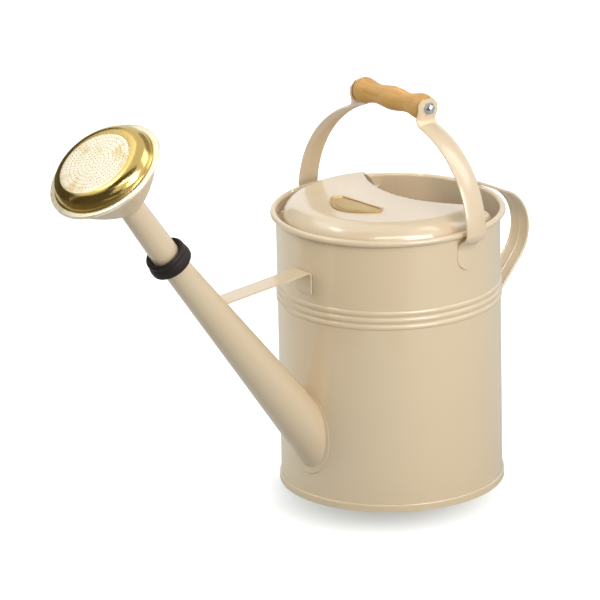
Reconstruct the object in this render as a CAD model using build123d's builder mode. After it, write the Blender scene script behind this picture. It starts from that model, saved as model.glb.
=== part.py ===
from build123d import *
from math import acos, asin, cos, degrees, radians, sin, tan
import os

os.makedirs("parts", exist_ok=True)

# Sheet metal and clearances, mm
sheet = 0.8                 # painted steel of body, base, cover, spout and rose
joint_gap = 0.1             # between pieces that are soldered, seamed or clenched together
run_gap = 0.3               # between pieces that move on each other

# Can body: origin at the middle of the base on the ground, spout towards -X
body_radius = 106.0
body_height = 268.0
rim_roll = 3.0              # outer radius of the rolled rim
wire_radius = 2.0           # stiffening wire inside the roll
roll_opening = 240.0        # angle at which the roll stops short of the wall
swage_drop = 72.2           # top swaged ring below the top of the rim
swage_pitch = 6.7
swage_height = 1.2          # how far each swaged ring stands proud
swage_width = 5.2

# Base with its seam
seam_height = 7.0
seam_proud = 1.6
seam_top_round = 1.2
base_recess = 6.0           # top of the pressed-up bottom above the ground

# Half cover and its badge
cover_rise = 10.0           # flat top above the rim
cover_shoulder = 20.0
gutter_width = 4.3
lip_drop = 6.0              # top of the lip soldered inside the wall, below the rim
mouth_front = 8.2           # front edge of the filling mouth on the middle plane
mouth_radius = 110.0        # its front edge is part of a circle
mouth_side = 24.0           # room left beside the mouth, from the wall
mouth_corner = 6.0
badge_right = -30.7
badge_right_half = 28.0
badge_corner = -40.7
badge_half = 34.0
badge_tip = -59.6
badge_tip_half = 11.5
badge_left = -62.2
badge_bow = 1.5             # its long sides are bowed outwards
badge_thick = 0.7
badge_border = 2.2
badge_relief = 0.5

# Spout, a straight cone
spout_height = 71.8         # height of its axis at the wall
spout_angle = 51.55
spout_radius = 23.1         # at the wall, on the axis
spout_taper = 0.0409
spout_root = -60.0          # how far the cone is drawn inside the wall before trimming
flange_width = 3.4

# Rose, described along its own axis from the plane of its rim
rose_tilt = 2.85            # the rose points up more steeply than the spout by this angle
rose_rim = 55.7
rose_crown = 14.5           # height of the perforated face above the rim plane
rose_flat = 36.5            # radius where the face turns into its shoulder
rose_shoulder = 12.8
rose_wall_angle = 84.0
rim_edge = 1.2              # top of the crimped rim
rim_lip = -1.4              # lower edge of the crimped rim
rim_bend = 1.0
neck_depth = 47.5
neck_radius = 12.2
cone_bulge = (35.0, -26.0)
hole_radius = 0.75
hole_rings = 6
hole_pitch = 5.7
stem_low_radius = 13.6
stem_inside_cone = 3.5

# Rubber collar between spout and rose, positions along the rose axis from its middle
collar_reach = 264.1        # middle of the collar along the spout from the wall
collar_depth = 120.9        # middle of the collar behind the rim plane
collar_low = -7.0
collar_high = 8.6
collar_radius = 20.4        # at its foot, the widest place
collar_edge = 0.6
collar_waist = 20.1
collar_groove = 19.0
collar_groove_at = 3.4
collar_lip = 19.4
collar_crest = 17.4         # radius of the top of the rounded lip
collar_dish = 5.6           # height of the dished top where it meets the stem
collar_seat = -2.0          # lower face of its inner lip, resting on the spout
collar_ledge = 1.0          # upper face of its inner lip, carrying the stem
spigot_top = 10.0

# Brace between body and spout
brace_width = 21.0
brace_thick = 1.6
brace_drop = 38.0           # where it meets the wall, below the rim
brace_slope = 3.3
brace_foot = 22.0
brace_bend = 4.0

# Handle over the top: two strap arms, wooden grip, rod and cap nuts
handle_x = 2.0              # middle of the arms at their feet
handle_lean = 3.0           # the handle leans back by this angle
strap_width = 23.4
strap_thick = 1.3
strap_crown = 2.2
arch_clear = 14.5           # arch outside the wall
arch_shift = 17.5           # centre of the arch off the middle plane, towards its own side
arch_drop = 8.2             # centre of the arch below the rim
arch_rise = 7.2             # from that centre up to where the S-bend begins
s_angle = 67.0              # steepest slant of the S-bend
foot_stand = 1.6            # middle of the strap off the wall at the foot
foot_drop = 38.0            # end of the foot below the rim
ear_bend = 6.0
ear_flat = 6.3              # from the ear bend up to where the strap is flat
ear_top = 9.0               # ear above the grip's axis
ear_clip = 3.4              # start of the clipped corners above the grip's axis
ear_clip_half = 6.0
grip_rise = 9.8             # grip's axis above the ear bend
grip_half = 46.0
grip_room = 0.7             # between the grip's end and the ear
grip_end = 10.3
grip_bulb = 12.0
grip_bulb_inset = 4.0
grip_waist = 9.6
grip_waist_y = 25.0
grip_middle = 11.3
rod_radius = 3.0
nut_flats = 10.0
nut_hex = 3.4
nut_dome = 4.4
nut_rise = 3.2              # dome above the hexagon

# Rear handle, a strap with three raised beads
rear_width = 24.5
rear_thick = 1.2
rear_bead = 1.3
rear_overlap = 3.0          # upper end inside the outside of the wall
rear_pitch = 25.0           # the upper run falls by this angle
rear_turn_out = 23.0        # centre of the large bend outside the wall
rear_turn_drop = 54.9       # and below the rim
rear_lower = 47.5           # the lower run falls back at this angle
rear_bend = 6.0
rear_foot_drop = 160.0
rear_hole_out = 20.7
rear_hole = 1.6

# Dimensions that follow from those above
wall_inner = body_radius - sheet
wall_foot = sheet + joint_gap
wall_face = body_radius + joint_gap
rim_centre = wall_inner + rim_roll
rim_z = body_height - rim_roll
seam_radius = body_radius + seam_proud
swage_round = (swage_width**2 / 4 + swage_height**2) / (2 * swage_height)
swage_centre = body_radius + swage_height - swage_round

swage_heights = [body_height - swage_drop - swage_pitch * ring for ring in range(3)]
cover_top = body_height + cover_rise
cover_radius = wall_inner - joint_gap - sheet - gutter_width
mouth_half = body_radius - mouth_side

spout_line = Vector(-cos(radians(spout_angle)), 0, sin(radians(spout_angle)))
spout_start = Vector(-body_radius, 0, spout_height)
spout_plane = Plane(origin=spout_start, x_dir=(0, 1, 0), z_dir=spout_line)

rose_angle = spout_angle + rose_tilt
rose_line = Vector(-cos(radians(rose_angle)), 0, sin(radians(rose_angle)))
collar_centre = spout_start + spout_line * collar_reach
rose_centre = collar_centre + rose_line * collar_depth
rose_axis = Axis(rose_centre, rose_line)
rose_face_plane = Plane(origin=rose_centre, x_dir=(0, 1, 0), z_dir=rose_line)
rose_profile = Plane(origin=rose_centre, x_dir=(0, 1, 0), z_dir=Vector(0, 1, 0).cross(rose_line))
collar_plane = rose_face_plane.offset(-collar_depth)
spigot_radius = stem_low_radius - sheet - 2 * run_gap


def spout_radius_at(reach):
    return spout_radius - spout_taper * reach


def band(inner, outer, low, high):
    with Locations(((inner + outer) / 2, (low + high) / 2)):
        Rectangle(outer - inner, high - low)


def spout_cone(grow, low, high, mode):
    with Locations(spout_plane.offset(low)):
        Cone(
            spout_radius_at(low) + grow,
            spout_radius_at(high) + grow,
            high - low,
            align=(Align.CENTER, Align.CENTER, Align.MIN),
            mode=mode,
        )


# Body: plain wall, three swaged rings, rolled rim, hole into the spout
with BuildPart() as body_shell:
    with BuildSketch(Plane.XZ):
        with Locations((rim_centre, rim_z)):
            Circle(rim_roll)
            Circle(rim_roll - sheet, mode=Mode.SUBTRACT)
        with BuildLine():
            far = 2 * rim_roll
            cut_end = (
                rim_centre + far * cos(radians(roll_opening)),
                rim_z + far * sin(radians(roll_opening)),
            )
            Polyline((rim_centre, rim_z), (rim_centre - far, rim_z), cut_end, close=True)
        make_face(mode=Mode.SUBTRACT)
        with Locations(*[(swage_centre, z) for z in swage_heights]):
            Circle(swage_round)
        with Locations((wall_inner / 2, body_height / 2)):
            Rectangle(wall_inner, body_height, mode=Mode.SUBTRACT)
        band(wall_inner, body_radius, wall_foot, rim_z)
        with Locations(*[(swage_centre, z) for z in swage_heights]):
            Circle(swage_round - sheet, mode=Mode.SUBTRACT)
    revolve(axis=Axis.Z)
    spout_cone(-sheet, spout_root, -spout_root, Mode.SUBTRACT)

with BuildPart() as rim_wire:
    with Locations((0, 0, rim_z)):
        Torus(rim_centre, wire_radius)

# Base: pressed-up bottom whose edge is folded round the foot of the wall
with BuildPart() as base_plate:
    skirt = wall_inner - joint_gap
    with BuildSketch(Plane.XZ):
        band(0, skirt, base_recess - sheet, base_recess)
        band(skirt - sheet, skirt, 0, base_recess)
        band(skirt - sheet, seam_radius, 0, sheet)
        band(wall_face, seam_radius, 0, seam_height)
    revolve(axis=Axis.Z)
    outer_rings = base_plate.edges().filter_by(GeomType.CIRCLE).group_by(SortBy.RADIUS)[-1]
    fillet(outer_rings.sort_by(Axis.Z)[-1], radius=seam_top_round)

# Half cover: flat top, round shoulder, gutter and a lip up the inside of the wall
with BuildPart() as cover_plate:
    with BuildSketch(Plane.XZ):
        with BuildLine():
            top = Line((0, cover_top), (cover_radius - cover_shoulder, cover_top))
            shoulder = JernArc(top @ 1, top % 1, cover_shoulder, -90)
            trough = JernArc(shoulder @ 1, shoulder % 1, gutter_width / 2, 180)
            Line(trough @ 1, ((trough @ 1).X, body_height - lip_drop))
            offset(amount=sheet, side=Side.RIGHT)
        make_face()
    revolve(axis=Axis.Z)
    with BuildSketch(Plane.XY.offset(cover_top + sheet)) as mouth:
        with Locations((mouth_front + mouth_radius, 0)):
            Circle(mouth_radius)
            Rectangle(2 * mouth_radius, 2 * mouth_half, mode=Mode.INTERSECT)
        front_corners = mouth.vertices().sort_by(Axis.X)[:2]
        fillet(front_corners, radius=mouth_corner)
    extrude(amount=-cover_top / 2, mode=Mode.SUBTRACT)

# Badge: bare plate with a raised border and a raised plain field
with BuildPart() as badge_plate:
    with BuildSketch(Plane.XY.offset(cover_top)) as badge_outline:
        with BuildLine():
            Polyline(
                (badge_corner, badge_half),
                (badge_right, badge_right_half),
                (badge_right, -badge_right_half),
                (badge_corner, -badge_half),
            )
            SagittaArc((badge_corner, -badge_half), (badge_tip, -badge_tip_half), badge_bow)
            ThreePointArc((badge_tip, -badge_tip_half), (badge_left, 0), (badge_tip, badge_tip_half))
            SagittaArc((badge_tip, badge_tip_half), (badge_corner, badge_half), badge_bow)
        make_face()
    extrude(amount=badge_thick + badge_relief)
    with BuildSketch(Plane.XY.offset(cover_top + badge_thick)):
        add(badge_outline.sketch_local)
        offset(amount=-badge_border, mode=Mode.REPLACE)
    extrude(amount=2 * badge_relief, mode=Mode.SUBTRACT)
    with BuildSketch(Plane.XY.offset(cover_top + badge_thick)):
        add(badge_outline.sketch_local)
        offset(amount=-2 * badge_border, mode=Mode.REPLACE)
    extrude(amount=badge_relief / 2)

# Spout: saddle flange on the wall, hollow cone, closed step and spigot under the collar
with BuildPart() as spout:
    with Locations((0, 0, spout_height)):
        Cylinder(wall_face + sheet, 2 * spout_height)
    spout_cone(flange_width, spout_root, -spout_root, Mode.INTERSECT)
    spout_cone(0, spout_root, collar_reach + spigot_top, Mode.ADD)
    with Locations((0, 0, spout_height)):
        Cylinder(wall_face, 4 * spout_height, mode=Mode.SUBTRACT)
    with Locations(collar_plane.offset(collar_seat)):
        Box(
            4 * collar_radius,
            4 * collar_radius,
            4 * spigot_top,
            align=(Align.CENTER, Align.CENTER, Align.MIN),
            mode=Mode.SUBTRACT,
        )
        Cylinder(
            spigot_radius,
            spigot_top - collar_seat,
            align=(Align.CENTER, Align.CENTER, Align.MIN),
        )
    spout_cone(-sheet, spout_root, collar_reach + collar_seat - 2 * sheet, Mode.SUBTRACT)
    with Locations(collar_plane.offset(collar_low)):
        Cylinder(
            spigot_radius - sheet,
            2 * spigot_top - collar_low,
            align=(Align.CENTER, Align.CENTER, Align.MIN),
            mode=Mode.SUBTRACT,
        )

# Brace: flat strip bent down the wall and coped to the spout
with BuildPart() as spout_brace:
    with BuildSketch(Plane.XZ):
        with BuildLine():
            brace_z = body_height - brace_drop
            fall = tan(radians(brace_slope))
            run = (brace_z - spout_height) / (fall + tan(radians(spout_angle)))
            FilletPolyline(
                (-wall_face - run, brace_z - run * fall),
                (-wall_face, brace_z),
                (-wall_face, brace_z - brace_foot),
                radius=brace_bend,
            )
            offset(amount=brace_thick, side=Side.RIGHT)
        make_face()
    extrude(amount=brace_width / 2, both=True)
    spout_cone(joint_gap, 0, collar_reach, Mode.SUBTRACT)

# Collar: barrel, groove and rounded lip outside; stepped bore with an inner lip
with BuildPart() as rose_collar:
    lip_bore = spigot_radius + run_gap
    stem_bore = stem_low_radius + run_gap
    collar_bore = spout_radius_at(collar_reach + collar_low) + run_gap
    collar_bore -= collar_low * sin(radians(rose_tilt))
    with BuildSketch(rose_profile.shift_origin(collar_centre)):
        with BuildLine():
            Polyline(
                (stem_bore, collar_dish),
                (stem_bore, collar_ledge),
                (lip_bore, collar_ledge),
                (lip_bore, collar_seat),
                (collar_bore, collar_seat),
                (collar_bore, collar_low),
                (collar_radius - collar_edge, collar_low),
                (collar_radius, collar_low + collar_edge),
            )
            ThreePointArc(
                (collar_radius, collar_low + collar_edge),
                (collar_waist, 0),
                (collar_groove, collar_groove_at),
            )
            ThreePointArc(
                (collar_groove, collar_groove_at),
                (collar_lip, (collar_groove_at + collar_high) / 2),
                (collar_crest, collar_high),
            )
            Line((collar_crest, collar_high), (stem_bore, collar_dish))
        make_face()
    revolve(axis=rose_axis)

# Rose: tapered stem, bowl behind, perforated face crimped over the bowl's edge
with BuildPart() as rose_stem:
    stem_low = collar_ledge - collar_depth
    stem_high = stem_inside_cone - neck_depth
    stem_tip = neck_radius - joint_gap
    with BuildSketch(rose_profile):
        with BuildLine():
            Polyline(
                (stem_low_radius, stem_low),
                (stem_tip, stem_high),
                (stem_tip - sheet, stem_high),
                (stem_low_radius - sheet, stem_low),
                close=True,
            )
        make_face()
    revolve(axis=rose_axis)

with BuildPart() as rose_cone:
    cone_rim = rose_rim - sheet - joint_gap
    cone_edge = rim_edge - 2 * sheet - joint_gap
    with BuildSketch(rose_profile):
        with BuildLine():
            bowl = ThreePointArc(
                (neck_radius + sheet, -neck_depth),
                cone_bulge,
                (cone_rim - 2 * rim_bend, cone_edge),
            )
            Line(bowl @ 1, (cone_rim, cone_edge))
            offset(amount=sheet, side=Side.LEFT)
        make_face()
    revolve(axis=rose_axis)

with BuildPart() as rose_face:
    with BuildSketch(rose_profile):
        with BuildLine():
            face = Line((0, rose_crown), (rose_flat, rose_crown))
            turn = JernArc(face @ 1, face % 1, rose_shoulder, -rose_wall_angle)
            root_drop = rim_bend * (1 - cos(radians(rose_wall_angle)))
            wall_drop = (turn @ 1).Y - rim_edge - root_drop
            wall_run = wall_drop / sin(radians(rose_wall_angle))
            wall = Line(turn @ 1, turn @ 1 + (turn % 1) * wall_run)
            root = JernArc(wall @ 1, wall % 1, rim_bend, rose_wall_angle)
            brim = Line(root @ 1, (rose_rim - rim_bend, rim_edge))
            edge = JernArc(brim @ 1, brim % 1, rim_bend, -90)
            Line(edge @ 1, (rose_rim, rim_lip))
            offset(amount=sheet, side=Side.RIGHT)
        make_face()
    revolve(axis=rose_axis)
    with BuildSketch(rose_face_plane.offset(rose_crown)):
        Circle(hole_radius)
        for ring in range(1, hole_rings + 1):
            with PolarLocations(ring * hole_pitch, 6 * ring):
                Circle(hole_radius)
    extrude(amount=-2 * sheet, mode=Mode.SUBTRACT)

# Handle arm: crowned strap swept along foot, S-bend, arch and ear bend
ear_out = grip_half + grip_room + strap_thick
ear_mid = ear_out - strap_thick / 2
arch_radius = body_radius + arch_clear - arch_shift
arch_z = body_height - arch_drop
arch_low = asin(arch_rise / arch_radius)
arch_high = acos((ear_mid + ear_bend - arch_shift) / (arch_radius + ear_bend))
foot_out = body_radius + foot_stand
foot_z = body_height - foot_drop
s_turn = radians(s_angle)
s_reach = arch_shift + arch_radius * cos(arch_low) - foot_out
s_bend = s_reach / (1 + cos(arch_low) - 2 * cos(s_turn))
s_start = arch_z + arch_rise - s_bend * (2 * sin(s_turn) + sin(arch_low))
ear_start = arch_z + (arch_radius + ear_bend) * sin(arch_high)
ear_flat_z = ear_start + ear_flat
rod_z = ear_start + grip_rise
ear_clip_z = rod_z + ear_clip
ear_top_z = rod_z + ear_top
lean_axis = Axis((handle_x, 0, foot_z), (0, 1, 0))
grip_x = handle_x + (rod_z - foot_z) * sin(radians(handle_lean))
grip_z = foot_z + (rod_z - foot_z) * cos(radians(handle_lean))
grip_bulb_y = grip_half - grip_bulb_inset


def strap_section(height, out, crown):
    half = strap_width / 2
    rise = strap_thick / 2
    plane = Plane(origin=(handle_x, out, height), x_dir=(1, 0, 0), z_dir=(0, 0, 1))
    with BuildSketch(plane) as section:
        with BuildLine():
            ThreePointArc((-half, rise - crown), (0, rise), (half, rise - crown))
            Line((half, rise - crown), (half, -rise - crown))
            ThreePointArc((half, -rise - crown), (0, -rise), (-half, -rise - crown))
            Line((-half, -rise - crown), (-half, rise - crown))
        make_face()
    return section.sketch


with BuildPart() as arm_upright:
    with BuildLine(Plane(origin=(handle_x, 0, 0), x_dir=(0, 1, 0), z_dir=(1, 0, 0))) as arm_path:
        foot = Line((foot_out, foot_z), (foot_out, s_start))
        JernArc(foot @ 1, (0, 1), s_bend, -degrees(s_turn))
        s_middle = (foot_out + s_bend * (1 - cos(s_turn)), s_start + s_bend * sin(s_turn))
        JernArc(s_middle, (sin(s_turn), cos(s_turn)), s_bend, degrees(s_turn + arch_low))
        CenterArc((arch_shift, arch_z), arch_radius, degrees(arch_low), degrees(arch_high - arch_low))
        arch_end = (arch_shift + arch_radius * cos(arch_high), arch_z + arch_radius * sin(arch_high))
        JernArc(arch_end, (-sin(arch_high), cos(arch_high)), ear_bend, -degrees(arch_high))
    sweep(sections=strap_section(foot_z, foot_out, strap_crown), path=arm_path.wires()[0])
    ear_level = Plane(origin=(handle_x, ear_mid, ear_flat_z), x_dir=(1, 0, 0), z_dir=(0, 0, 1))
    with BuildSketch(ear_level) as ear_root:
        Rectangle(strap_width, strap_thick)
    loft(sections=[strap_section(ear_start, ear_mid, strap_crown), ear_root.sketch])
    ear_plane = Plane(origin=(handle_x, ear_mid, 0), x_dir=(1, 0, 0), z_dir=(0, -1, 0))
    with BuildSketch(ear_plane):
        with BuildLine():
            Polyline(
                (-strap_width / 2, ear_flat_z),
                (-strap_width / 2, ear_clip_z),
                (-ear_clip_half, ear_top_z),
                (ear_clip_half, ear_top_z),
                (strap_width / 2, ear_clip_z),
                (strap_width / 2, ear_flat_z),
                close=True,
            )
        make_face()
    extrude(amount=strap_thick / 2, both=True)
    with BuildSketch(ear_plane):
        with Locations((0, rod_z)):
            Circle(rod_radius + joint_gap)
    extrude(amount=strap_width, both=True, mode=Mode.SUBTRACT)
    with BuildSketch(ear_plane):
        with Locations((0, foot_z)):
            Rectangle(2 * strap_width, strap_width)
        with Locations((0, foot_z + strap_width / 2)):
            Circle(strap_width / 2, mode=Mode.SUBTRACT)
    extrude(amount=-body_radius, mode=Mode.SUBTRACT)

arm_leaning = arm_upright.part.rotate(lean_axis, handle_lean)

with BuildPart() as handle_arm_right:
    add(arm_leaning)
    with Locations((0, 0, foot_z)):
        Cylinder(wall_face, body_radius / 2, mode=Mode.SUBTRACT)

with BuildPart() as handle_arm_left:
    mirror(handle_arm_right.part, about=Plane.XZ)

# Turned grip, the rod it spins on and the cap nuts that hold the rod
grip_axis = Axis((grip_x, 0, grip_z), (0, 1, 0))
grip_profile = Plane(origin=(grip_x, 0, grip_z), x_dir=(0, 1, 0), z_dir=(1, 0, 0))

with BuildPart() as grip:
    with BuildSketch(grip_profile):
        with BuildLine():
            Spline(
                (-grip_half, grip_end),
                (-grip_bulb_y, grip_bulb),
                (-grip_waist_y, grip_waist),
                (0, grip_middle),
                (grip_waist_y, grip_waist),
                (grip_bulb_y, grip_bulb),
                (grip_half, grip_end),
            )
            Polyline(
                (grip_half, grip_end),
                (grip_half, rod_radius + run_gap),
                (-grip_half, rod_radius + run_gap),
                (-grip_half, grip_end),
            )
        make_face()
    revolve(axis=grip_axis)

rod_half = ear_out + nut_hex

with BuildPart() as grip_rod:
    with BuildSketch(Plane(origin=(grip_x, 0, grip_z), x_dir=(1, 0, 0), z_dir=(0, 1, 0))):
        Circle(rod_radius)
    extrude(amount=rod_half, both=True)

nut_ball = (nut_dome**2 + nut_rise**2) / (2 * nut_rise)
nut_latitude = degrees(asin((nut_ball - nut_rise) / nut_ball))

with BuildPart() as grip_nuts:
    for side in (1, -1):
        nut_plane = Plane(origin=(grip_x, side * ear_out, grip_z), x_dir=(1, 0, 0), z_dir=(0, side, 0))
        with BuildSketch(nut_plane):
            RegularPolygon(nut_flats / 2, 6, major_radius=False)
        extrude(amount=nut_hex)
        with Locations(nut_plane.offset(nut_hex)):
            Sphere(nut_ball, arc_size1=nut_latitude, align=(Align.CENTER, Align.CENTER, Align.MIN))
        with BuildSketch(nut_plane):
            Circle(rod_radius + joint_gap)
        extrude(amount=nut_hex + joint_gap, mode=Mode.SUBTRACT)

# Rear handle: beaded strap from the rim round to the wall
rear_start_x = body_radius - rear_overlap
rear_turn_x = body_radius + rear_turn_out
rear_turn_z = body_height - rear_turn_drop
rear_foot_z = body_height - rear_foot_drop
rear_level = sin(radians(rear_pitch)) * rim_centre + cos(radians(rear_pitch)) * rim_z
rear_level += rim_roll + rear_bead + joint_gap
rear_down = (cos(radians(rear_pitch)), -sin(radians(rear_pitch)))
rear_radius = rear_level - sin(radians(rear_pitch)) * rear_turn_x - cos(radians(rear_pitch)) * rear_turn_z
rear_start_z = (rear_level - sin(radians(rear_pitch)) * rear_start_x) / cos(radians(rear_pitch))
rear_foot_x = wall_face + rear_bead
rear_turn = 180 - rear_pitch - rear_lower

with BuildPart() as rear_handle:
    with BuildLine(Plane.XZ) as rear_path:
        turn_start = (
            rear_turn_x + rear_radius * sin(radians(rear_pitch)),
            rear_turn_z + rear_radius * cos(radians(rear_pitch)),
        )
        Line((rear_start_x, rear_start_z), turn_start)
        JernArc(turn_start, rear_down, rear_radius, -rear_turn)
        turn_end = (
            rear_turn_x + rear_radius * sin(radians(rear_lower)),
            rear_turn_z - rear_radius * cos(radians(rear_lower)),
        )
        bend_x = rear_foot_x + rear_bend * (1 - sin(radians(rear_lower)))
        bend_z = turn_end[1] - (turn_end[0] - bend_x) * tan(radians(rear_lower))
        Line(turn_end, (bend_x, bend_z))
        rear_back = (-cos(radians(rear_lower)), -sin(radians(rear_lower)))
        JernArc((bend_x, bend_z), rear_back, rear_bend, 90 - rear_lower)
        foot_top = bend_z - rear_bend * cos(radians(rear_lower))
        Line((rear_foot_x, foot_top), (rear_foot_x, rear_foot_z))
    rear_section = Plane(
        origin=(rear_start_x, 0, rear_start_z),
        x_dir=(0, 1, 0),
        z_dir=(rear_down[0], 0, rear_down[1]),
    )
    with BuildSketch(rear_section):
        bead_out = rear_width / 2 - rear_bead
        Rectangle(2 * bead_out, rear_thick)
        with Locations((-bead_out, 0), (0, 0), (bead_out, 0)):
            Circle(rear_bead)
    sweep(path=rear_path.wires()[0])
    with BuildSketch(Plane.XY.offset(rear_turn_z)):
        with Locations((body_radius + rear_hole_out, 0)):
            Circle(rear_hole)
    extrude(amount=2 * rear_radius, mode=Mode.SUBTRACT)

pieces = {
    "body_shell": body_shell,
    "rim_wire": rim_wire,
    "base_plate": base_plate,
    "cover_plate": cover_plate,
    "badge_plate": badge_plate,
    "spout": spout,
    "spout_brace": spout_brace,
    "rose_collar": rose_collar,
    "rose_stem": rose_stem,
    "rose_cone": rose_cone,
    "rose_face": rose_face,
    "handle_arm_left": handle_arm_left,
    "handle_arm_right": handle_arm_right,
    "grip": grip,
    "grip_rod": grip_rod,
    "grip_nuts": grip_nuts,
    "rear_handle": rear_handle,
}
for name, piece in pieces.items():
    piece.part.label = name
    export_step(piece.part, f"parts/{name}.step")
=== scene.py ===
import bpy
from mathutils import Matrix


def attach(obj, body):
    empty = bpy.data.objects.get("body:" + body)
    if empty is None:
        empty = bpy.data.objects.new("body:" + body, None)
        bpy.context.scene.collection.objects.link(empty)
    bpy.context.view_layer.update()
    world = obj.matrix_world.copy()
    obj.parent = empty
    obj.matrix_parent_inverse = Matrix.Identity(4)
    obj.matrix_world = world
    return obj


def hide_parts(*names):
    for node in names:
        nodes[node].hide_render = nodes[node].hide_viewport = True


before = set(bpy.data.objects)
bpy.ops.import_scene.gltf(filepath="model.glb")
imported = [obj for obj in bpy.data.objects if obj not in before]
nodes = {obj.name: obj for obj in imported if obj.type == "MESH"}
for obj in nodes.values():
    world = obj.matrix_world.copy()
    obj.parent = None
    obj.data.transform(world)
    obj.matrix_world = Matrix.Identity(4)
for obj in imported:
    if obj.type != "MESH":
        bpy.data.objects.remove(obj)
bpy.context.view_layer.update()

import math
import bmesh
import bpy
from mathutils import Matrix, Vector

scene = bpy.context.scene

# camera as in the photo: a long lens, slightly off level
cameraPlan = {
    "azimuth": -42.0,
    "elevation": 18.953,
    "roll": -0.947,
    "distance": 5.0,
    "target": (0.0, 0.0, 0.130),
    "aimRight": -0.974,
    "aimUp": 0.502,
    "lens": 315.03,
    "sensor": 36.0,
    "clip": (0.1, 60.0),
}


def makeCamera(plan):
    azimuth = math.radians(plan["azimuth"])
    elevation = math.radians(plan["elevation"])
    roll = math.radians(plan["roll"])
    level = math.cos(elevation)
    back = Vector((math.sin(azimuth) * level, -math.cos(azimuth) * level, math.sin(elevation)))
    right = Vector((math.cos(azimuth), math.sin(azimuth), 0.0))
    up = back.cross(right)
    look = right * math.tan(math.radians(plan["aimRight"])) - back
    look += up * math.tan(math.radians(plan["aimUp"]))
    look.normalize()
    levelSide = look.cross(up).normalized()
    levelTop = levelSide.cross(look)
    side = levelSide * math.cos(roll) + levelTop * math.sin(roll)
    top = levelTop * math.cos(roll) - levelSide * math.sin(roll)
    data = bpy.data.cameras.new("photoCamera")
    data.lens = plan["lens"]
    data.sensor_width = plan["sensor"]
    data.clip_start, data.clip_end = plan["clip"]
    camera = bpy.data.objects.new("photoCamera", data)
    scene.collection.objects.link(camera)
    place = Vector(plan["target"]) + back * plan["distance"]
    turn = Matrix((side, top, -look)).transposed().to_4x4()
    camera.matrix_world = Matrix.Translation(place) @ turn
    scene.camera = camera


makeCamera(cameraPlan)
print("camera set")


# small helpers for shader trees
def newMaterial(name):
    material = bpy.data.materials.new(name)
    material.use_nodes = True
    tree = material.node_tree
    return material, tree, tree.nodes["Principled BSDF"]


def addNode(tree, kind, **values):
    node = tree.nodes.new(kind)
    for key, value in values.items():
        if hasattr(node, key):
            setattr(node, key, value)
        else:
            node.inputs[key].default_value = value
    return node


def addMath(tree, operation):
    return addNode(tree, "ShaderNodeMath", operation=operation)


def addVectorMath(tree, operation):
    return addNode(tree, "ShaderNodeVectorMath", operation=operation)


def addMix(tree, blend="MIX"):
    return addNode(tree, "ShaderNodeMix", data_type="RGBA", blend_type=blend)


def addRamp(tree, places, colours):
    node = tree.nodes.new("ShaderNodeValToRGB")
    while len(node.color_ramp.elements) < len(places):
        node.color_ramp.elements.new(0.5)
    for element, place, colour in zip(node.color_ramp.elements, places, colours):
        element.position = place
        element.color = (*colour, 1.0)
    return node


def addSpan(tree, value, span):
    node = addNode(tree, "ShaderNodeMapRange")
    node.inputs["To Min"].default_value, node.inputs["To Max"].default_value = span
    tree.links.new(value, node.inputs["Value"])
    return node.outputs["Result"]


def addTint(tree, mask, first, second):
    tint = addMix(tree)
    tint.inputs["A"].default_value = (*first, 1.0)
    tint.inputs["B"].default_value = (*second, 1.0)
    tree.links.new(mask, tint.inputs["Factor"])
    return tint.outputs["Result"]


def addBump(tree, height, distance, strength):
    bump = addNode(tree, "ShaderNodeBump", Distance=distance, Strength=strength)
    tree.links.new(height, bump.inputs["Height"])
    return bump.outputs["Normal"]


def newGroup(name, inputs, outputs):
    tree = bpy.data.node_groups.new(name, "ShaderNodeTree")
    for label, value in inputs:
        socket = tree.interface.new_socket(
            name=label, in_out="INPUT", socket_type="NodeSocketFloat")
        socket.default_value = value
    for label in outputs:
        tree.interface.new_socket(name=label, in_out="OUTPUT", socket_type="NodeSocketFloat")
    return tree, tree.nodes.new("NodeGroupInput"), tree.nodes.new("NodeGroupOutput")


# handling marks: broad dull patches and fine specks, used by every finish
def handlingGroup():
    tree, given, out = newGroup(
        "handlingMarks",
        [("Patch Size", 12.0), ("Speck Size", 300.0), ("Speck Share", 0.3)],
        ["Patches", "Specks"],
    )
    link = tree.links.new
    coord = tree.nodes.new("ShaderNodeTexCoord")
    patch = addNode(tree, "ShaderNodeTexNoise", Detail=4.0, Roughness=0.6)
    speck = addNode(tree, "ShaderNodeTexNoise", Detail=2.0, Roughness=0.5)
    level = addMath(tree, "SUBTRACT")
    level.inputs[0].default_value = 1.0
    cut = addNode(tree, "ShaderNodeMapRange")
    cut.inputs["From Max"].default_value = 1.0
    link(coord.outputs["Object"], patch.inputs["Vector"])
    link(coord.outputs["Object"], speck.inputs["Vector"])
    link(given.outputs["Patch Size"], patch.inputs["Scale"])
    link(given.outputs["Speck Size"], speck.inputs["Scale"])
    link(given.outputs["Speck Share"], level.inputs[1])
    link(speck.outputs["Fac"], cut.inputs["Value"])
    link(level.outputs[0], cut.inputs["From Min"])
    link(patch.outputs["Fac"], out.inputs["Patches"])
    link(cut.outputs["Result"], out.inputs["Specks"])
    return tree


handlingTree = handlingGroup()


# marks in a finish are its patch size, speck size and speck share
def addHandling(tree, marks):
    node = tree.nodes.new("ShaderNodeGroup")
    node.node_tree = handlingTree
    for label, value in zip(("Patch Size", "Speck Size", "Speck Share"), marks):
        node.inputs[label].default_value = value
    return node.outputs["Patches"], node.outputs["Specks"]


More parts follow.
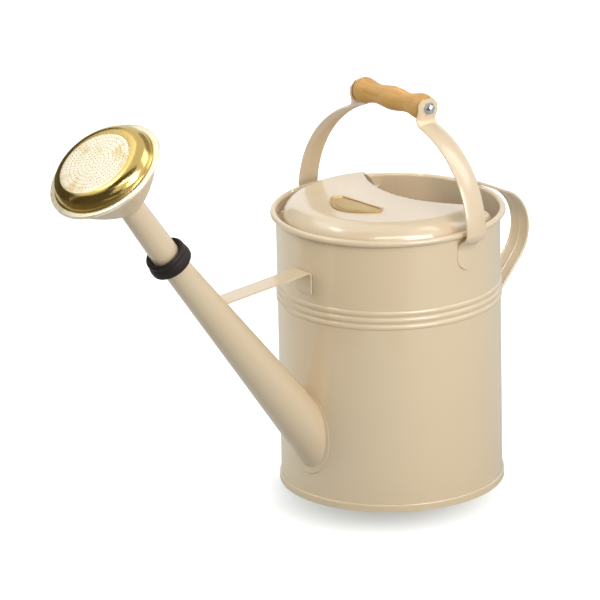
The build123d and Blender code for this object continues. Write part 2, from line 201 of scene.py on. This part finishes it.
# cream enamel on the sheet steel, with fine orange peel
creamPlan = {
    "colour": (0.690, 0.555, 0.378),
    "warm": (0.668, 0.525, 0.342),
    "marks": (9.0, 900.0, 0.34),
    "roughness": (0.30, 0.42),
    "coat": 0.80,
    "coatRoughness": 0.07,
    "peelSize": 420.0,
    "peelDetail": 1.5,
    "peelHeight": 0.00003,
    "peelStrength": 0.5,
}
coneCoat = 0.25         # the bowl behind the rose is duller
coverCoat = 1.0


def creamPaint(name, plan):
    material, tree, shader = newMaterial(name)
    link = tree.links.new
    patches = addHandling(tree, plan["marks"])[0]
    link(addTint(tree, patches, plan["colour"], plan["warm"]), shader.inputs["Base Color"])
    link(addSpan(tree, patches, plan["roughness"]), shader.inputs["Roughness"])
    shader.inputs["Coat Weight"].default_value = plan["coat"]
    shader.inputs["Coat Roughness"].default_value = plan["coatRoughness"]
    coord = tree.nodes.new("ShaderNodeTexCoord")
    peel = addNode(tree, "ShaderNodeTexNoise", Scale=plan["peelSize"], Detail=plan["peelDetail"])
    link(coord.outputs["Object"], peel.inputs["Vector"])
    normal = addBump(tree, peel.outputs["Fac"], plan["peelHeight"], plan["peelStrength"])
    link(normal, shader.inputs["Normal"])
    link(normal, shader.inputs["Coat Normal"])
    return material, tree, shader


# the cover's paint is darkened in broken spots along the cut edge of the mouth
edgeSpotPlan = {
    "middle": (0.1182, 0.0, 0.0),
    "radius": 0.110,
    "width": 0.0009,
    "size": 170.0,
    "detail": 1.0,
    "level": 0.60,
    "colour": (0.085, 0.070, 0.055),
}


def edgeSpottedPaint(name, plan, edgeSpots):
    material, tree, shader = creamPaint(name, plan)
    link = tree.links.new
    paint = shader.inputs["Base Color"].links[0].from_socket
    coord = tree.nodes.new("ShaderNodeTexCoord")
    flat = addVectorMath(tree, "MULTIPLY")
    flat.inputs[1].default_value = (1.0, 1.0, 0.0)
    reach = addVectorMath(tree, "DISTANCE")
    reach.inputs[1].default_value = edgeSpots["middle"]
    edge = addMath(tree, "COMPARE")
    edge.inputs[1].default_value = edgeSpots["radius"]
    edge.inputs[2].default_value = edgeSpots["width"]
    spotNoise = addNode(tree, "ShaderNodeTexNoise", Scale=edgeSpots["size"], Detail=edgeSpots["detail"])
    spotCut = addMath(tree, "GREATER_THAN")
    spotCut.inputs[1].default_value = edgeSpots["level"]
    darkSpots = addMath(tree, "MULTIPLY")
    tint = addMix(tree)
    tint.inputs["B"].default_value = (*edgeSpots["colour"], 1.0)
    link(coord.outputs["Object"], flat.inputs[0])
    link(flat.outputs["Vector"], reach.inputs[0])
    link(reach.outputs["Value"], edge.inputs[0])
    link(coord.outputs["Object"], spotNoise.inputs["Vector"])
    link(spotNoise.outputs["Fac"], spotCut.inputs[0])
    link(edge.outputs[0], darkSpots.inputs[0])
    link(spotCut.outputs[0], darkSpots.inputs[1])
    link(darkSpots.outputs[0], tint.inputs["Factor"])
    link(paint, tint.inputs["A"])
    link(tint.outputs["Result"], shader.inputs["Base Color"])
    return material


# brass with dull specks
badgePlan = {
    "colour": (0.70, 0.50, 0.22),
    "dull": (0.55, 0.36, 0.14),
    "marks": (60.0, 700.0, 0.42),
    "roughness": (0.29, 0.42),
    "grain": 0.00008,
    "grainStrength": 0.4,
}


def polishedBrass(name, plan):
    material, tree, shader = newMaterial(name)
    link = tree.links.new
    shader.inputs["Metallic"].default_value = 1.0
    patches, specks = addHandling(tree, plan["marks"])
    link(addTint(tree, specks, plan["colour"], plan["dull"]), shader.inputs["Base Color"])
    link(addSpan(tree, patches, plan["roughness"]), shader.inputs["Roughness"])
    normal = addBump(tree, specks, plan["grain"], plan["grainStrength"])
    link(normal, shader.inputs["Normal"])
    return material, tree, shader


# rose face: thin brass pressing with rings of fine holes, crimped round its edge
roseFacePlan = {
    "centre": (-0.340603, 0.0, 0.376934),
    "tilt": 54.4,
    "crown": 0.0145,        # face above the rim plane
    "flat": 0.0365,         # radius of the flat field
    "shoulder": 0.0128,
    "shoulderSteps": 12,
    "wallAngle": 84.0,
    "brim": 0.0012,
    "rim": 0.0557,
    "lip": -0.0014,
    "bend": 0.0010,
    "bendSteps": 6,
    "sheet": 0.0008,
    "holeRadius": 0.00052,
    "holeSides": 8,
    "ringStep": 0.0040,
    "holeStep": 0.0033,
    "rings": 8,
    "spokes": 144,
    "sharpAngle": 40.0,
}

# its flat field and brim are painted pale and less metallic, a painted reflection standing in for
# the bright reflection they show, with stains speckled on it; the shoulder between them stays gold
rosePlan = {
    "colour": (0.62, 0.45, 0.15),
    "dull": (0.14, 0.08, 0.015),
    "marks": (60.0, 700.0, 0.42),
    "roughness": (0.10, 0.24),
    "grain": 0.00022,
    "grainStrength": 0.4,
    "paintedSheen": (0.940, 0.855, 0.655),
    "stain": (0.80, 0.60, 0.27),
    "stainStops": (0.52, 0.68),
    "fieldMarks": (55.0, 420.0, 0.46),
    "fieldShift": Vector((-0.0028, 0.0007, -0.0020)),
    "fieldRadius": 0.0353,
    "brimRadius": 0.0508,
    "edge": 0.0004,
    "paintedSheenMetal": 0.40,
}


def axisLine(plan):
    tilt = math.radians(plan["tilt"])
    return Vector((-math.cos(tilt), 0.0, math.sin(tilt)))


# 0 within a radius of an axis, 1 beyond it
def beyondRadius(tree, centre, line, radius, edge):
    coord = tree.nodes.new("ShaderNodeTexCoord")
    offset = addVectorMath(tree, "SUBTRACT")
    offset.inputs[1].default_value = centre
    across = addVectorMath(tree, "CROSS_PRODUCT")
    across.inputs[1].default_value = line
    length = addVectorMath(tree, "LENGTH")
    step = addNode(tree, "ShaderNodeMapRange", interpolation_type="SMOOTHSTEP")
    step.inputs["From Min"].default_value = radius - edge
    step.inputs["From Max"].default_value = radius + edge
    tree.links.new(coord.outputs["Object"], offset.inputs[0])
    tree.links.new(offset.outputs["Vector"], across.inputs[0])
    tree.links.new(across.outputs["Vector"], length.inputs[0])
    tree.links.new(length.outputs["Value"], step.inputs["Value"])
    return step.outputs["Result"]


def paintedSheenBrass(name, plan, rose):
    material, tree, shader = polishedBrass(name, plan)
    link = tree.links.new
    gold = shader.inputs["Base Color"].links[0].from_socket
    line = axisLine(rose)
    middle = Vector(rose["centre"])
    outField = beyondRadius(
        tree, middle + plan["fieldShift"], line, plan["fieldRadius"], plan["edge"])
    onBrim = beyondRadius(tree, middle, line, plan["brimRadius"], plan["edge"])
    inField = addMath(tree, "SUBTRACT")
    inField.inputs[0].default_value = 1.0
    zone = addMath(tree, "MAXIMUM")
    patches, specks = addHandling(tree, plan["fieldMarks"])
    stain = addRamp(tree, plan["stainStops"], (plan["paintedSheen"], plan["stain"]))
    speckle = addMix(tree)
    speckle.inputs["B"].default_value = (*plan["stain"], 1.0)
    # the field and brim take the pale colour: painted reflection
    tint = addMix(tree)
    link(outField, inField.inputs[1])
    link(inField.outputs[0], zone.inputs[0])
    link(onBrim, zone.inputs[1])
    link(patches, stain.inputs["Fac"])
    link(stain.outputs["Color"], speckle.inputs["A"])
    link(specks, speckle.inputs["Factor"])
    link(zone.outputs[0], tint.inputs["Factor"])
    link(gold, tint.inputs["A"])
    link(speckle.outputs["Result"], tint.inputs["B"])
    link(tint.outputs["Result"], shader.inputs["Base Color"])
    # less metal on the field and brim, part of the painted reflection
    metal = addSpan(tree, zone.outputs[0], (1.0, plan["paintedSheenMetal"]))
    link(metal, shader.inputs["Metallic"])
    return material


# black rubber of the collar, scuffed where it has been pushed on
rubberPlan = {
    "colour": (0.020, 0.0135, 0.0125),
    "scuffed": (0.042, 0.032, 0.030),
    "marks": (90.0, 260.0, 0.40),
    "roughness": (0.42, 0.64),
    "specular": 0.22,
    "grain": 0.0002,
    "grainStrength": 0.3,
}


def collarRubber(name, plan):
    material, tree, shader = newMaterial(name)
    link = tree.links.new
    patches, specks = addHandling(tree, plan["marks"])
    link(addTint(tree, specks, plan["colour"], plan["scuffed"]), shader.inputs["Base Color"])
    link(addSpan(tree, patches, plan["roughness"]), shader.inputs["Roughness"])
    shader.inputs["Specular IOR Level"].default_value = plan["specular"]
    normal = addBump(tree, specks, plan["grain"], plan["grainStrength"])
    link(normal, shader.inputs["Normal"])
    return material


# turned beech of the grip, grain along the grip
woodPlan = {
    "dark": (0.500, 0.275, 0.073),
    "middle": (0.567, 0.327, 0.094),
    "light": (0.635, 0.381, 0.122),
    "stops": (0.30, 0.46, 0.66),
    "stretch": (330.0, 11.0, 330.0),
    "lean": (0.06, 0.0, 0.05),
    "detail": 6.0,
    "fray": 0.62,
    "waver": 0.6,
    "marks": (40.0, 800.0, 0.3),
    "handled": (0.86, 0.76, 0.62),
    "roughness": 0.42,
    "grain": 0.00015,
    "grainStrength": 0.35,
}


def turnedWood(name, plan):
    material, tree, shader = newMaterial(name)
    link = tree.links.new
    coord = tree.nodes.new("ShaderNodeTexCoord")
    stretch = tree.nodes.new("ShaderNodeMapping")
    stretch.inputs["Scale"].default_value = plan["stretch"]
    stretch.inputs["Rotation"].default_value = plan["lean"]
    grain = addNode(
        tree, "ShaderNodeTexNoise", Scale=1.0, Detail=plan["detail"],
        Roughness=plan["fray"], Distortion=plan["waver"],
    )
    colour = addRamp(tree, plan["stops"], (plan["dark"], plan["middle"], plan["light"]))
    patches = addHandling(tree, plan["marks"])[0]
    tint = addMix(tree, "MULTIPLY")
    tint.inputs["B"].default_value = (*plan["handled"], 1.0)
    link(coord.outputs["Object"], stretch.inputs["Vector"])
    link(stretch.outputs["Vector"], grain.inputs["Vector"])
    link(grain.outputs["Fac"], colour.inputs["Fac"])
    link(patches, tint.inputs["Factor"])
    link(colour.outputs["Color"], tint.inputs["A"])
    link(tint.outputs["Result"], shader.inputs["Base Color"])
    shader.inputs["Roughness"].default_value = plan["roughness"]
    normal = addBump(tree, grain.outputs["Fac"], plan["grain"], plan["grainStrength"])
    link(normal, shader.inputs["Normal"])
    return material


# plated nuts, drawn rod and rim wire
nutPlan = {
    "colour": (0.45, 0.50, 0.56),
    "dulled": 0.7,
    "marks": (150.0, 900.0, 0.35),
    "roughness": (0.14, 0.26),
}
rodPlan = {
    "colour": (0.55, 0.55, 0.56),
    "dulled": 0.7,
    "marks": (150.0, 900.0, 0.35),
    "roughness": (0.30, 0.45),
}


def plainMetal(name, plan):
    material, tree, shader = newMaterial(name)
    link = tree.links.new
    shader.inputs["Metallic"].default_value = 1.0
    patches, specks = addHandling(tree, plan["marks"])
    dull = [part * plan["dulled"] for part in plan["colour"]]
    link(addTint(tree, specks, plan["colour"], dull), shader.inputs["Base Color"])
    link(addSpan(tree, patches, plan["roughness"]), shader.inputs["Roughness"])
    return material


cream = creamPaint("creamPaint", creamPlan)[0]
coneCream = creamPaint("coneCream", dict(creamPlan, coat=coneCoat))[0]
coverCream = edgeSpottedPaint("coverPaint", dict(creamPlan, coat=coverCoat), edgeSpotPlan)
roseBrass = paintedSheenBrass("roseBrass", rosePlan, roseFacePlan)
badgeBrass = polishedBrass("badgeBrass", badgePlan)[0]
rubber = collarRubber("collarRubber", rubberPlan)
wood = turnedWood("turnedWood", woodPlan)
nutSteel = plainMetal("platedSteel", nutPlan)
rodSteel = plainMetal("drawnSteel", rodPlan)

finishes = {
    "body_shell": cream,
    "base_plate": cream,
    "cover_plate": coverCream,
    "badge_plate": badgeBrass,
    "spout": cream,
    "spout_brace": cream,
    "rose_collar": rubber,
    "rose_stem": cream,
    "rose_cone": coneCream,
    "rose_face": roseBrass,
    "handle_arm_left": cream,
    "handle_arm_right": cream,
    "grip": wood,
    "grip_nuts": nutSteel,
    "grip_rod": rodSteel,
    "rear_handle": cream,
    "rim_wire": rodSteel,
}
for name, material in finishes.items():
    nodes[name].data.materials.clear()
    nodes[name].data.materials.append(material)
print("finishes on", len(finishes), "nodes")


def roseMatrix(plan):
    line = axisLine(plan)
    side = Vector((0.0, 1.0, 0.0))
    turn = Matrix((side, line.cross(side), line)).transposed().to_4x4()
    return Matrix.Translation(Vector(plan["centre"])) @ turn


def arcPoints(centre, radius, start, end, steps):
    points = []
    for i in range(1, steps + 1):
        angle = math.radians(start + (end - start) * i / steps)
        points.append((centre[0] + radius * math.cos(angle), centre[1] + radius * math.sin(angle)))
    return points


# radius and height from the flat field out to the lip; depth is measured into the sheet
def roseProfile(plan, depth):
    lean = plan["wallAngle"]
    slope = math.radians(lean)
    shoulder, bend, brim = plan["shoulder"], plan["bend"], plan["brim"]
    turnCentre = (plan["flat"], plan["crown"] - shoulder)
    line = arcPoints(turnCentre, shoulder - depth, 90.0, 90.0 - lean, plan["shoulderSteps"])
    wallRadius = turnCentre[0] + shoulder * math.sin(slope)
    wallHeight = turnCentre[1] + shoulder * math.cos(slope)
    drop = wallHeight - brim - bend * (1 - math.cos(slope))
    wallRadius += drop / math.tan(slope)
    footCentre = (wallRadius + bend * math.sin(slope), brim + bend)
    line += arcPoints(footCentre, bend + depth, 270.0 - lean, 270.0, plan["bendSteps"])
    edgeCentre = (plan["rim"] - bend, brim - bend)
    line += arcPoints(edgeCentre, bend - depth, 90.0, 0.0, plan["bendSteps"])
    line.append((plan["rim"] - depth, plan["lip"]))
    return line


# a hole in the middle and rings round it, every other ring turned by half a step
def roseHoles(plan):
    holes = [(0.0, 0.0)]
    for k in range(1, plan["rings"] + 1):
        radius = k * plan["ringStep"]
        number = round(2 * math.pi * radius / plan["holeStep"])
        for i in range(number):
            angle = 2 * math.pi * (i + 0.5 * (k % 2)) / number
            holes.append((radius * math.cos(angle), radius * math.sin(angle)))
    return holes


def makeRoseFace(plan):
    bm = bmesh.new()

    def ring(radius, height, points, middle=(0.0, 0.0)):
        loop = []
        for i in range(points):
            angle = 2 * math.pi * i / points
            x = middle[0] + radius * math.cos(angle)
            y = middle[1] + radius * math.sin(angle)
            loop.append(bm.verts.new((x, y, height)))
        return loop

    def skin(first, second):
        for i in range(len(first)):
            j = (i + 1) % len(first)
            bm.faces.new((first[i], first[j], second[j], second[i]))

    holes = roseHoles(plan)
    sides = []
    for depth in (0.0, plan["sheet"]):
        height = plan["crown"] - depth
        edge = ring(plan["flat"], height, plan["spokes"])
        rims = [ring(plan["holeRadius"], height, plan["holeSides"], middle) for middle in holes]
        edges = []
        for loop in [edge] + rims:
            for i in range(len(loop)):
                edges.append(bm.edges.new((loop[i], loop[(i + 1) % len(loop)])))
        bmesh.ops.triangle_fill(bm, use_beauty=True, edges=edges, normal=(0.0, 0.0, 1.0))
        for radius, level in roseProfile(plan, depth):
            nextEdge = ring(radius, level, plan["spokes"])
            skin(edge, nextEdge)
            edge = nextEdge
        sides.append((edge, rims))
    (upperEdge, upperRims), (lowerEdge, lowerRims) = sides
    skin(upperEdge, lowerEdge)
    for upper, lower in zip(upperRims, lowerRims):
        skin(upper, lower)
    bmesh.ops.recalc_face_normals(bm, faces=bm.faces)
    bmesh.ops.transform(bm, matrix=roseMatrix(plan), verts=bm.verts)
    mesh = bpy.data.meshes.new("roseFace")
    bm.to_mesh(mesh)
    bm.free()
    mesh.shade_smooth()
    mesh.set_sharp_from_angle(angle=math.radians(plan["sharpAngle"]))
    piece = bpy.data.objects.new("roseFace", mesh)
    scene.collection.objects.link(piece)
    mesh.materials.append(roseBrass)
    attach(piece, "rose")
    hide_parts("rose_face")
    print("rose face with", len(holes), "holes")


makeRoseFace(roseFacePlan)


# studio: the camera sees the floor white, but for a painted shadow at the can's foot, a pool where
# the glow fades so the floor shows grey, with the can's real shadow inside it
studioPlan = {
    "floorSize": 14.0,
    "floorColour": (0.385, 0.39, 0.372),
    "glow": 0.95,
    "paintedShadowGlow": 0.13,
    "paintedShadowMiddle": (-0.047, -0.034, 0.0),
    "paintedShadowStart": 0.046,
    "paintedShadowEnd": 0.156,
    "mirroredGlow": 0.25,
    "worldLight": 0.56,
}


def matteMaterial(name, colour):
    material, tree, shader = newMaterial(name)
    shader.inputs["Base Color"].default_value = (*colour, 1.0)
    shader.inputs["Roughness"].default_value = 1.0
    shader.inputs["Specular IOR Level"].default_value = 0.0
    return material, tree, shader


def makePlane(name, width, depth, material):
    x, y = width / 2, depth / 2
    corners = [(-x, -y, 0), (x, -y, 0), (x, y, 0), (-x, y, 0)]
    mesh = bpy.data.meshes.new(name)
    mesh.from_pydata(corners, [], [(0, 1, 2, 3)])
    mesh.materials.append(material)
    plane = bpy.data.objects.new(name, mesh)
    scene.collection.objects.link(plane)
    return plane


def makeFloor(plan):
    material, tree, shader = matteMaterial("paleFloor", plan["floorColour"])
    link = tree.links.new
    coord = tree.nodes.new("ShaderNodeTexCoord")
    reach = addVectorMath(tree, "DISTANCE")
    reach.inputs[1].default_value = plan["paintedShadowMiddle"]
    # the glow fades towards the pool's middle, set in front of the can: painted shadow
    paintedShadowFade = addNode(tree, "ShaderNodeMapRange", interpolation_type="SMOOTHSTEP")
    paintedShadowFade.inputs["From Min"].default_value = plan["paintedShadowStart"]
    paintedShadowFade.inputs["From Max"].default_value = plan["paintedShadowEnd"]
    paintedShadowFade.inputs["To Min"].default_value = plan["paintedShadowGlow"]
    paintedShadowFade.inputs["To Max"].default_value = plan["glow"]
    path = tree.nodes.new("ShaderNodeLightPath")
    mirrored = addMath(tree, "MULTIPLY")
    mirrored.inputs[1].default_value = plan["mirroredGlow"]
    seen = addMath(tree, "MAXIMUM")
    shown = addMath(tree, "MAXIMUM")
    glow = addMath(tree, "MULTIPLY")
    link(coord.outputs["Object"], reach.inputs[0])
    link(reach.outputs["Value"], paintedShadowFade.inputs["Value"])
    link(path.outputs["Is Camera Ray"], seen.inputs[0])
    link(path.outputs["Is Transmission Ray"], seen.inputs[1])
    link(path.outputs["Is Glossy Ray"], mirrored.inputs[0])
    link(seen.outputs[0], shown.inputs[0])
    link(mirrored.outputs[0], shown.inputs[1])
    link(shown.outputs[0], glow.inputs[0])
    link(paintedShadowFade.outputs["Result"], glow.inputs[1])
    shader.inputs["Emission Color"].default_value = (1.0, 1.0, 1.0, 1.0)
    link(glow.outputs[0], shader.inputs["Emission Strength"])
    floor = makePlane("floor", plan["floorSize"], plan["floorSize"], material)


def makeWorld(plan):
    world = bpy.data.worlds.new("studio")
    world.use_nodes = True
    tree = world.node_tree
    link = tree.links.new
    backdrop = tree.nodes["Background"]
    backdrop.inputs["Color"].default_value = (1.0, 1.0, 1.0, 1.0)
    path = tree.nodes.new("ShaderNodeLightPath")
    seen = addMath(tree, "MAXIMUM")
    shown = addMath(tree, "MAXIMUM")
    link(path.outputs["Is Camera Ray"], seen.inputs[0])
    link(path.outputs["Is Transmission Ray"], seen.inputs[1])
    link(seen.outputs[0], shown.inputs[0])
    link(path.outputs["Is Glossy Ray"], shown.inputs[1])
    level = addSpan(tree, shown.outputs[0], (plan["worldLight"], 1.0))
    link(level, backdrop.inputs["Strength"])
    scene.world = world


def aimAt(thing, place, target):
    thing.location = place
    line = Vector(target) - Vector(place)
    thing.rotation_euler = line.to_track_quat("-Z", "Y").to_euler()


makeFloor(studioPlan)
makeWorld(studioPlan)
print("floor and world set")

canMiddle = (0.0, 0.0, 0.2)
roseMiddle = (-0.34, 0.0, 0.38)
coolWhite = (0.90, 0.97, 1.0)

# glossy False gives light without highlights, diffuse False gives highlights alone
lampPlans = {
    "frontLamp": {
        "place": (-0.19, -1.49, 0.85), "target": canMiddle,
        "size": (0.8, 0.8), "power": 15.4,
    },
    "leftLamp": {
        "place": (-0.66, 1.24, 0.90), "target": canMiddle,
        "size": (1.3, 1.0), "power": 13.0, "colour": coolWhite, "glossy": False,
    },
    "highLamp": {
        "place": (-1.20, 0.36, 1.50), "target": canMiddle,
        "size": (0.9, 0.9), "power": 3.2, "colour": coolWhite, "glossy": False,
    },
    "rightLamp": {
        "place": (1.37, -0.29, 1.10), "target": canMiddle,
        "size": (0.8, 0.8), "power": 2.6, "colour": (0.90, 0.92, 1.0), "glossy": False,
    },
    "backLamp": {
        "place": (0.74, 0.82, 1.50), "target": canMiddle,
        "size": (1.6, 1.2), "power": 4.6, "glossy": False,
    },
    "mouthLamp": {
        "place": (0.03, -0.75, 1.64), "target": (0.06, 0.05, 0.25),
        "size": (0.12, 0.12), "power": 0.028, "colour": (1.0, 0.93, 0.72), "spread": 6.0,
    },
    "fillLamp": {
        "place": (-0.95, -1.05, 1.56), "target": canMiddle,
        "size": (1.6, 0.6), "power": 2.2, "colour": coolWhite, "glossy": False,
    },
    "rimShine": {
        "place": (-0.69, -1.10, 1.34), "target": (0.0, 0.0, 0.27),
        "size": (1.3, 0.2), "power": 7.5, "diffuse": False,
    },
    "armShine": {
        "place": (0.80, -0.74, 1.50), "target": (0.0, 0.0, 0.3),
        "size": (0.8, 1.2), "power": 8.0, "diffuse": False,
    },
    "roseShine": {
        "place": (-0.83, 1.52, 2.50), "target": roseMiddle,
        "size": (1.4, 0.9), "power": 3.4, "diffuse": False,
    },
    "shoulderShine": {
        "place": (-1.145, 0.777, 2.03), "target": roseMiddle,
        "size": (0.6, 0.35), "power": 4.0, "diffuse": False,
    },
}


def makeLamp(name, plan):
    data = bpy.data.lights.new(name, "AREA")
    data.shape = "RECTANGLE"
    data.size, data.size_y = plan["size"]
    data.energy = plan["power"]
    data.color = plan.get("colour", (1.0, 1.0, 1.0))
    data.spread = math.radians(plan.get("spread", 180.0))
    lamp = bpy.data.objects.new(name, data)
    aimAt(lamp, plan["place"], plan["target"])
    lamp.visible_camera = False
    lamp.visible_glossy = plan.get("glossy", True)
    lamp.visible_diffuse = plan.get("diffuse", True)
    scene.collection.objects.link(lamp)


for name, plan in lampPlans.items():
    makeLamp(name, plan)
print("lamps set:", len(lampPlans))

# dark cards that only shiny surfaces see, as the unlit side of a studio
dullBrown = matteMaterial("dullCard", (0.16, 0.135, 0.095))[0]
warmGrey = matteMaterial("greyCard", (0.50, 0.46, 0.38))[0]
roseBack = (-0.34, 0.0, 0.37)
flagPlans = {
    "frontFlag": {
        "place": (-1.41, -1.19, 0.32), "target": roseBack,
        "size": (1.2, 0.6), "card": dullBrown,
    },
    "lowFrontFlag": {
        "place": (-0.62, -0.70, 0.004), "target": (-0.62, -0.70, 1.0),
        "size": (0.65, 0.56), "card": dullBrown,
    },
    "lowLeftFlag": {
        "place": (-1.22, 0.35, 0.004), "target": (-1.22, 0.35, 1.0),
        "size": (1.34, 2.1), "card": dullBrown,
    },
    "highFrontFlag": {
        "place": (-1.01, -0.52, 1.73), "target": roseBack,
        "size": (1.7, 0.9), "card": dullBrown,
    },
    "leftFlag": {
        "place": (-1.9, 0.1, 0.85), "target": (0.0, 0.1, 0.85),
        "size": (2.6, 1.7), "card": dullBrown,
    },
    "backFlag": {
        "place": (-0.8, 1.5, 0.80), "target": (-0.8, 0.0, 0.80),
        "size": (2.2, 1.6), "card": dullBrown,
    },
    "overFlag": {
        "place": (0.40, 0.15, 0.85), "target": roseMiddle,
        "size": (0.7, 0.5), "card": warmGrey,
    },
}


def makeFlag(name, plan):
    flag = makePlane(name, *plan["size"], plan["card"])
    aimAt(flag, plan["place"], plan["target"])
    flag.visible_camera = False
    flag.visible_diffuse = False
    flag.visible_transmission = False
    flag.visible_shadow = False


for name, plan in flagPlans.items():
    makeFlag(name, plan)
scene.view_settings.view_transform = "Standard"
print("flags set:", len(flagPlans))
